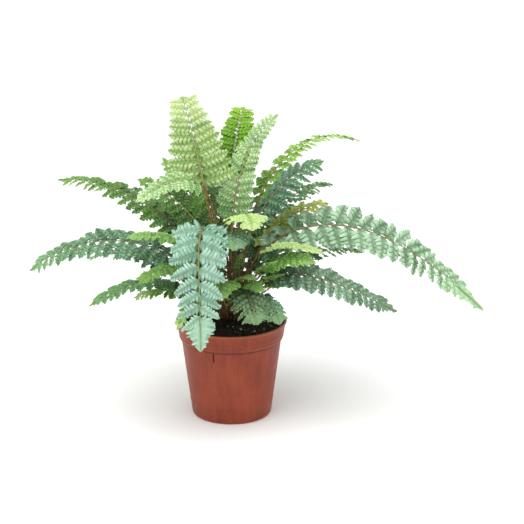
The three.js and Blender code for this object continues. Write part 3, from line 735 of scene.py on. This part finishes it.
def blade_sheet(sheet, midrib, chance):
    """A frond's leaflets and its undivided tip."""
    draw = chance.uniform
    frond = midrib.frond
    outline = OUTLINES[frond.shape]
    leafy = 1 - 0.6 * frond.apex
    fill = 0.62 + 0.045 * frond.blunt + outline.overlap

    def distance_of(place):
        share = place / frond.pinnae
        return midrib.blade_start + leafy * frond.blade * share * (1 + TIGHTENING * (1 - share))

    for i in range(frond.pinnae):
        for side, stand in PAIR:
            place = i + stand + draw(-0.06, 0.06)
            distance = distance_of(place)
            gap = distance_of(place + 0.5) - distance_of(place - 0.5)
            share = midrib.share(distance)
            slant = radians(lerp(FOOT_SLANT, outline.tip_slant, share) + draw(-4, 4))
            point, along, across, out = midrib.at(distance)
            length = midrib.reach(distance) * draw(0.94, 1.03) / sin(slant)
            lift = radians(frond.fold + draw(-7, 7))
            outward = leaning(leaning(along, side * across, slant), out, lift)
            tilt = radians(LEAFLET_TILT + (8 + 10 * frond.crisp) * draw(-1, 1))
            forward, up = turned(squared(along, outward), squared(out, outward), tilt)
            root = point + across * (side * 0.4 * midrib.radius(distance)) + out * 0.2
            half_width = fill * gap * sin(slant) * draw(0.93, 1.08)
            lobes = max(2, round(frond.lobes * (length / (0.5 * frond.width)) ** 0.8))
            leaflet = Leaflet(root, outward, forward, up, length, half_width, lobes, side)
            lobed_leaflet(sheet, leaflet, frond, share, chance)
    # The undivided tip goes on along the midrib. Its lobes follow its share of the blade.
    start = distance_of(frond.pinnae - 0.35)
    point, along, across, out = midrib.at(start)
    outward = midrib.at(midrib.length)[0] - point
    length = outward.length
    outward.normalize()
    across = squared(across, outward)
    size = frond.apex / LONGEST_APEX
    half_width = max(midrib.reach(start) * lerp(0.5, 0.95, size), 1.6)
    lobes = max(4, round(frond.lobes * lerp(0.8, 1.5, size)))
    tip = Leaflet(point, outward, across, outward.cross(across), length, half_width, lobes, 0)
    lobed_leaflet(sheet, tip, frond._replace(blunt=1.25, hang=0.02), 1, chance)


STEM_SIDES, STEM_STEP = 8, 4.5


def stem_sheet(sheet, midrib, chance):
    """The stalk and midrib: a tapering tube with a groove along its upper side."""
    count = max(int(midrib.length / STEM_STEP), 12)
    rings = []
    for i in range(count + 1):
        distance = midrib.length * i / count * 0.995
        point, _, across, out = midrib.at(distance)
        radius = midrib.radius(distance)
        data = (chance.random(), distance / midrib.length, 0.5)
        ring = []
        for k in range(STEM_SIDES):
            east, north = polar(1, tau * (k + 0.5) / STEM_SIDES)
            groove = 0.55 if abs(east) < 0.5 and north > 0 else 1
            place = point + across * (radius * east) + out * (radius * 0.92 * north * groove)
            ring.append(sheet.point(place, data))
        rings.append(ring)
    sheet.tube(rings)


def papery_scale(sheet, root, outward, across, length, width, chance):
    """A papery scale: narrow, and bent back towards its tip."""
    up = outward.cross(across).normalized()
    data = (chance.random(), 0.5, 0.5)
    curl = chance.uniform(-0.1, 0.35) * length
    corners = []
    for t, share in ((0, 0.55), (0.4, 1)):
        middle = root + outward * (length * t) + up * (curl * t * t)
        corners += [sheet.point(middle + across * (s * width * share / 2), data) for s in (-1, 1)]
    end = sheet.point(root + outward * length + up * curl, data)
    sheet.face([corners[k] for k in (0, 1, 3, 2)])
    sheet.face((corners[2], corners[3], end))


SCALE_CROWDING = {"mature": 1, "fresh": 1.7, "young": 0.8}


def stem_scales(sheet, midrib, chance):
    """Scales all round the stalk, dense at its foot and few along the midrib."""
    draw = chance.uniform
    frond = midrib.frond
    distance = STEM_SINK + 1
    while distance < midrib.blade_start + 0.75 * frond.blade:
        point, along, across, out = midrib.at(distance)
        share = max(midrib.share(distance), 0)
        crowding = lerp(1, 0.35, ease(share * 1.4)) * (1 + 1.6 * exp(-distance / 18))
        angle = draw(0, tau)
        if share > 0:
            angle = draw(pi, tau)  # the underside of the leafy part
        away = leaning(across, out, angle)
        outward = leaning(along, away, radians(draw(14, 48)))
        length = draw(1.8, 4.2) * lerp(1.1, 0.6, share)
        papery_scale(
            sheet, point + away * (0.8 * midrib.radius(distance)), outward,
            outward.cross(away).normalized(), length * (1 + 0.6 * exp(-distance / 20)),
            draw(0.5, 1), chance,
        )
        distance += draw(0.5, 1.5) / (SCALE_CROWDING[frond.kind] * crowding)


def frond_piece(name, frond, coats, chance):
    """One frond: its leaflets, its stalk and its scales."""
    midrib = Midrib(frond)
    blade, stalk, hairs = Sheet(), Sheet(), Sheet()
    blade_sheet(blade, midrib, chance)
    stem_sheet(stalk, midrib, chance)
    stem_scales(hairs, midrib, chance)
    leaf = blade.piece(name, *coats[frond.finish])
    modified(leaf, "SOLIDIFY", thickness=LEAF_THICKNESS * MM, offset=-1, material_offset=1)
    bark = stalk.piece(name + "_stalk", coats["tan" if frond.kind == "mature" else "green"])
    hair = hairs.piece(name + "_scales", coats["scales"])
    modified(hair, "SOLIDIFY", thickness=SCALE_THICKNESS * MM, offset=0)
    return joined([leaf, bark, hair], name)


def make_fronds(coats):
    for number, frond in enumerate(FRONDS, 1):
        piece = frond_piece(f"fern_frond_{number:02d}", frond, coats, random.Random(900 + number))
        kept(piece, LEAF_SMOOTHING, frond.kind + "_leaf", f"frond_{number:02d}")


INNER_LEAVES, INNER_TRIES = 32, 6000
CLEARANCE = 2.2
LANDMARK_STEP = 4


def landmarks(frond):
    """Points along a frond's stem and midrib, and out over its leaflets."""
    midrib = Midrib(frond)
    found = []
    for step in range(int(midrib.length / LANDMARK_STEP)):
        distance = LANDMARK_STEP * step
        point, _, across, _ = midrib.at(distance)
        found.append(point)
        if midrib.share(distance) > 0:
            reach = midrib.reach(distance)
            found += [point + across * (reach * s) for s in (-1, -0.66, -0.33, 0.33, 0.66, 1)]
    return found


def sorted_points(points):
    tree = kdtree.KDTree(len(points))
    for index, point in enumerate(points):
        tree.insert(point, index)
    tree.balance()
    return tree


def make_inner_leaves(coats):
    """Small leaves between the stems, where the fronds leave room."""
    chance = random.Random(57)
    draw = chance.uniform
    taken = [sorted_points([point for frond in FRONDS for point in landmarks(frond)])]
    leaves = []
    for _ in range(INNER_TRIES):
        if len(leaves) == INNER_LEAVES:
            break
        angle = draw(150, 400)
        x, y = polar(draw(6, 15.5), radians(angle))
        frond = Frond(
            x=x, y=y, azimuth=angle + draw(-60, 60), rise=draw(4, 20), droop=draw(50, 112),
            bend=draw(0.45, 0.6), crook=1, sweep=0, roll=draw(-25, 25), stem=draw(10, 60),
            blade=draw(26, 46), width=draw(15, 24), shape="lance", kind="young",
            finish=chance.choice(("mid_green", "deep_green", "mid_green", "fern_green")),
            pinnae=chance.randint(6, 8), lobes=3, blunt=2.8, fold=3, hang=0.14, apex=0.16,
            crisp=0.4,
        )
        points = landmarks(frond)[3:]
        if all(tree.find(point)[2] >= CLEARANCE for tree in taken for point in points):
            taken.append(sorted_points(points))
            leaves.append(frond_piece("inner_leaves", frond, coats, chance))
    kept(joined(leaves, "inner_leaves"), LEAF_SMOOTHING, "young_leaf")


# ---- Pot ----

POT_SIDES, DRAIN_SIDES = 144, 24


def turned_piece(name, profile, sides):
    """A closed body, extruded from a disc along a profile of (radius, height)."""
    (radius, height), *profile = profile
    bpy.ops.mesh.primitive_circle_add(
        vertices=sides, radius=radius * MM, fill_type="NGON", location=(0, 0, height * MM)
    )
    piece = bpy.context.object
    piece.name = piece.data.name = name
    bpy.ops.object.mode_set(mode="EDIT")
    bpy.ops.mesh.select_all(action="SELECT")
    for next_radius, next_height in profile:
        step = (0, 0, (next_height - height) * MM)
        bpy.ops.mesh.extrude_region_move(TRANSFORM_OT_translate={"value": step})
        grown = next_radius / radius
        centre = (0, 0, next_height * MM)
        bpy.ops.transform.resize(value=(grown, grown, 1), center_override=centre)
        radius, height = next_radius, next_height
    bpy.ops.mesh.select_all(action="SELECT")
    bpy.ops.mesh.normals_make_consistent()
    bpy.ops.object.mode_set(mode="OBJECT")
    bpy.ops.object.transform_apply()
    return piece


def cut_away(piece, cutter):
    modified(piece, "BOOLEAN", operation="DIFFERENCE", object=cutter, solver="EXACT")
    bpy.data.objects.remove(cutter)


def body_radius(height):
    share = (height - BODY_FOOT_HEIGHT) / (BAND_FOOT_HEIGHT - BODY_FOOT_HEIGHT)
    return lerp(FOOT_RADIUS, BODY_TOP_RADIUS, share)


def band_radius(height):
    share = (height - BAND_FOOT_HEIGHT) / BAND_HEIGHT
    return lerp(BAND_FOOT_RADIUS, RIM_RADIUS - 0.9, share)


def make_pot():
    """The pot, turned from one profile, with its drain holes and slit cut away."""
    def body(*heights, proud=0):
        return [(body_radius(height) + proud, height) for height in heights]

    def band(*heights, proud=0):
        return [(band_radius(height) + proud, height) for height in heights]

    foot = [
        (9, 0), (9.6, 0.25), (11, 2.75), (11.6, 3), (30.4, 3), (31, 2.75), (32.6, 0.25), (33.2, 0),
        (35.6, 0), (36.9, 0.45), (37.6, 1.3), (FOOT_RADIUS, BODY_FOOT_HEIGHT),
    ]
    # The body has one fine rib near its foot, and the band has two.
    outside = [
        *body(5, 14), (body_radius(14.3) + 0.25, 14.4), *body(15.4, proud=0.25),
        *body(15.8, 40, 60, 70), (BODY_TOP_RADIUS - 0.05, 74.2),
        (BODY_TOP_RADIUS + 0.5, BAND_FOOT_HEIGHT), (48.3, 74.6), (BAND_FOOT_RADIUS, 75.1),
        *band(76.6), *band(77.1, 77.9, proud=0.3), *band(78.4, 80.4),
        *band(80.8, 81.4, proud=0.22), *band(81.8, 86, 89.6),
    ]
    lip = [
        (51.75, 89.9), (52.2, 90.15), (RIM_RADIUS, 90.7), (RIM_RADIUS, 91.3), (52.25, 91.75),
        (51.8, POT_HEIGHT), (51.1, POT_HEIGHT), (50.7, 91.9), (50.5, 91.6),
    ]
    inside = [
        *band(86, proud=-WALL), (47.6, 76.6), (46.4, 75.4), *body(73, 40, 8, proud=-WALL),
        (36.3, 4.8), (35.4, FLOOR_TOP), (20, FLOOR_TOP),
    ]
    pot = turned_piece("nursery_pot", foot + outside + lip + inside, POT_SIDES)
    for i in range(DRAIN["holes"]):
        x, y = polar(DRAIN["circle"] * MM, tau * (i + 0.5) / DRAIN["holes"])
        bpy.ops.mesh.primitive_cylinder_add(
            vertices=DRAIN_SIDES, radius=DRAIN["radius"] * MM, depth=0.012, location=(x, y, 0.004)
        )
        cut_away(pot, bpy.context.object)
    turn = radians(SLIT["azimuth"])
    top = BAND_FOOT_HEIGHT - SLIT["drop"]
    x, y = polar(body_radius(top) * MM, turn)
    bpy.ops.mesh.primitive_cube_add(
        size=1,
        location=(x, y, (top - SLIT["height"] / 2) * MM),
        rotation=(0, 0, turn),
        scale=(SLIT["depth"] * MM, SLIT["width"] * MM, SLIT["height"] * MM),
    )
    cut_away(pot, bpy.context.object)
    coated(pot, pot_finish())
    kept(pot, 35, "pot_plastic", "pot")


# ---- Peat and crown ----

PEAT_SIDES, PEAT_RINGS = 168, 31
RECESS_FLOOR = 85.7


def mound_height(radius):
    share = radius / MOUND_RADIUS
    return lerp(SOIL_MIDDLE, SOIL_EDGE, share * share)


def lump(x, y):
    """How far the peat stands above its mound at a place, in millimetres."""
    coarse = noise.noise(Vector((x / 9, y / 9, 2.3)))
    middling = noise.noise(Vector((x / 3.6, y / 3.6, 8.1)))
    fine = noise.noise(Vector((x / 1.7, y / 1.7, 4.7)))
    return 1.7 * coarse + 1.2 * abs(middling) + 0.55 * fine - 0.3


def lump_at_rim(x, y):
    """The same, levelled towards the pot's wall."""
    return lump(x, y) * ease((LUMPS_END - hypot(x, y)) / LUMPS_FADE)


def make_peat(finish):
    """The pot's filling, with a lumpy top and a recess for the crown."""
    steps = [(4, SOIL_FOOT), (36, SOIL_FOOT), (39.4, 20), (42.8, 47), (46, 73.5), (47.2, 76.5)]
    steps.append((SOIL_RADIUS, SOIL_EDGE - 0.3))
    recess = CROWN_RADIUS + CROWN_GAP
    for i in range(PEAT_RINGS):
        radius = lerp(SOIL_RADIUS, recess, (i + 1) / PEAT_RINGS)
        steps.append((radius, mound_height(radius)))
    steps += [(recess, RECESS_FLOOR), (2, RECESS_FLOOR)]
    peat = turned_piece("peat", steps, PEAT_SIDES)
    for vertex in peat.data.vertices:
        x, y, z = (c / MM for c in vertex.co)
        if z > 88 and hypot(x, y) > CROWN_RADIUS:
            vertex.co.z += lump_at_rim(x, y) * MM
    coated(peat, finish)
    kept(peat, 60, "peat", "soil")


RIM_ZONE = 49  # bits that start this far out keep to the wall


def strewn(name, count, sizes, squash, seed, low, finish):
    """Copies of a rough lump, each turned and sized its own way, lying on the peat."""
    draw = random.Random(seed).uniform
    bpy.ops.mesh.primitive_ico_sphere_add(subdivisions=1)
    model = bpy.context.object
    for vertex in model.data.vertices:
        vertex.co *= 1 + 0.3 * noise.noise(vertex.co * 1.7 + Vector((seed, 0, 0)))
    copies = []
    for _ in range(count):
        radius = sqrt(draw(low**2, 49.6**2)) if low < RIM_ZONE else draw(low, 49.9)
        x, y = polar(radius, draw(0, tau))
        size = draw(*sizes) * (0.6 if radius > 48.5 else 1)
        top = mound_height(radius) + lump_at_rim(x, y) + 0.25 * size * squash
        spin, tip = draw(0, tau), draw(-0.6, 0.6)
        turn = Matrix.Rotation(spin, 4, "Z") @ Matrix.Rotation(tip, 4, "X")
        shape = Matrix.Diagonal((size * draw(0.8, 1.5), size, size * squash, 1))
        copy = model.data.copy()
        copy.transform(Matrix.Translation(Vector((x, y, top))) @ turn @ shape)
        copy.transform(Matrix.Scale(MM, 4))
        copies.append(placed(name, copy))
    bpy.data.objects.remove(model)
    piece = joined(copies, name)
    coated(piece, finish)
    kept(piece, 50, "peat")


FIBRES, FIBRE_RINGS = 90, 5


def make_fibres(finish):
    """Short bent fibres and bits of twig on the peat."""
    draw = random.Random(71).uniform
    sheet = Sheet()
    for _ in range(FIBRES):
        x, y = polar(sqrt(draw(16**2, 47**2)), draw(0, tau))
        heading, bend = draw(0, tau), draw(-0.35, 0.35)
        step, thick = draw(0.8, 2.2), draw(0.18, 0.42)
        rings = []
        for i in range(FIBRE_RINGS):
            clear = 0 if i in (0, FIBRE_RINGS - 1) else 0.6
            height = mound_height(hypot(x, y)) + lump(x, y) + thick + clear
            beside = Vector((-sin(heading), cos(heading), 0))
            ring = []
            for side in (0.5, 2.6, 4.7):
                aside, above = polar(thick * (1 - 0.12 * i), side)
                ring.append(sheet.point(Vector((x, y, height)) + beside * aside + UP * above))
            rings.append(ring)
            heading += bend
            x, y = x + step * cos(heading), y + step * sin(heading)
        if hypot(x, y) <= 49.4:
            sheet.tube(rings)
    kept(sheet.piece("peat_fibres", finish), 40, "peat")


CROWN_SCALES = 420


def make_crown(finish, scales):
    """The rootstock between the stems, under overlapping brown scales."""
    steps = [
        (10, CROWN_BOTTOM), (14.6, CROWN_BOTTOM), (CROWN_RADIUS, 91.9), (16, 97), (13.4, 99.6),
        (10, 101.4), (6, 102.6), (2, CROWN_TOP),
    ]
    crown = turned_piece("rootstock", steps, 48)
    for vertex in crown.data.vertices:
        angle = atan2(vertex.co.y, vertex.co.x)
        inset = 1 - 0.03 * (1 + sin(7 * angle)) - 0.03 * noise.noise(vertex.co * 260)
        vertex.co.x *= inset
        vertex.co.y *= inset
    coated(crown, finish)
    chance = random.Random(17)
    draw = chance.uniform
    sheet = Sheet()
    for _ in range(CROWN_SCALES):
        radius = CROWN_RADIUS * sqrt(draw(0, 1)) * 0.97
        away = Vector((*polar(1, draw(0, tau)), 0))
        lean = radians(lerp(20, 78, radius / CROWN_RADIUS) + draw(-16, 16))
        outward = leaning(UP, away, lean)
        beside = Vector((-away.y, away.x, 0))
        root = away * radius * 0.95 + UP * (crown_top(radius) - 1.2)
        length, width = draw(3, 7), draw(1, 2)
        papery_scale(sheet, root, outward, beside, length, width, chance)
    coat = sheet.piece("scales", scales)
    modified(coat, "SOLIDIFY", thickness=0.15 * MM, offset=0)
    kept(joined([crown, coat], "rootstock"), 45, "crown_scales", "crown")


# ---- Studio ----

FLOOR_SIZE = 60
WORLD_STRENGTH, SUN_STRENGTH, SUN_ANGLE = 0.82, 1.25, 70
LAMPS = (
    ("overhead", (-0.3, -0.35, 1.7), 1.2, 8),
    ("front_left", (-1.4, -1.5, 1), 1, 3),
    ("back_right", (1.2, 1.1, 1.2), 1, 3),
)
LAMPS_AIM = Vector((0.02, 0, 0.14))


def faced(thing, direction):
    """Turns a lamp or the camera to look in this direction."""
    thing.rotation_euler = direction.to_track_quat("-Z", "Y").to_euler()


def make_studio():
    bpy.ops.mesh.primitive_plane_add(size=FLOOR_SIZE)
    floor = bpy.context.object
    floor.name = "studio_floor"
    finish = Finish("studio_floor", shine=0.2, Roughness=0.75)
    pale = finish.mixed(finish.clouds(6, 2), "#f5f5f4", "#f8f8f7")
    floor.data.materials.append(finish.wear(Base_Color=pale))

    world = bpy.data.worlds.new("studio")
    bpy.context.scene.world = world
    world.use_nodes = True
    sky = world.node_tree.nodes["Background"].inputs
    sky["Color"].default_value = (1, 1, 1, 1)
    sky["Strength"].default_value = WORLD_STRENGTH
    for name, place, size, power in LAMPS:
        light = bpy.data.lights.new(name, "AREA")
        light.size, light.energy = size, power
        lamp = placed(name, light)
        lamp.location = place
        faced(lamp, LAMPS_AIM - Vector(place))
    sun = bpy.data.lights.new("sky_light", "SUN")
    sun.energy, sun.angle = SUN_STRENGTH, radians(SUN_ANGLE)
    faced(placed("sky_light", sun), Vector((0.25, 0.3, -1)))
    bpy.context.scene.view_settings.view_transform = "Standard"


CAMERA_TILT, CAMERA_DISTANCE, CAMERA_LENS = 18.5, 1.35, 98
CAMERA_AIM = Vector((0.029, 0, 0.148))


def make_camera():
    """Stands where the photographer stood, looking down on the rim."""
    tilt = radians(CAMERA_TILT)
    place = UP * (POT_HEIGHT * MM) + CAMERA_DISTANCE * Vector((0, -cos(tilt), sin(tilt)))
    camera = placed("camera", bpy.data.cameras.new("camera"))
    camera.location = place
    camera.data.lens = CAMERA_LENS
    faced(camera, CAMERA_AIM - place)
    bpy.context.scene.camera = camera


make_camera()
make_studio()

coats = {
    name: (leaf_finish(name + "_leaf", leaf), underside_finish(name + "_underside", leaf))
    for name, leaf in LEAVES.items()
}
coats["tan"] = stem_finish("tan_stalk", "#3f2c1b", "#77683c", "#8a9f5c")
coats["green"] = stem_finish("green_stalk", "#553d24", "#95814a", "#a0b565")
coats["scales"] = scale_finish("brown_scales", "#3d2616", "#9a7546")
crumbs = speck_finish("peat_crumbs", "#0f0b08", "#33261b", 0.78)
bark = speck_finish("bark_bits", "#2a1a10", "#6b4a2e", 0.7)
perlite = speck_finish("perlite", "#b9b4a6", "#e6e2d8", 0.8)
moss = speck_finish("moss", "#3b5a24", "#7f9f46", 0.8)

make_pot()
make_peat(peat_finish())
strewn("peat_crumbs", 420, (0.5, 1.5), 0.75, 5, 14, crumbs)
strewn("rim_crumbs", 60, (0.35, 0.8), 0.7, 9, RIM_ZONE, crumbs)
strewn("bark_bits", 46, (0.9, 2), 0.4, 23, 15, bark)
strewn("perlite", 16, (0.6, 1.2), 0.8, 31, 16, perlite)
strewn("moss", 34, (0.7, 1.5), 0.6, 47, 16, moss)
make_fibres(speck_finish("peat_fibres", "#3d2b1c", "#8a6b48", 0.75))
make_crown(speck_finish("rootstock", "#1f150e", "#4a3421", 0.8), coats["scales"])
make_fronds(coats)
make_inner_leaves(coats)
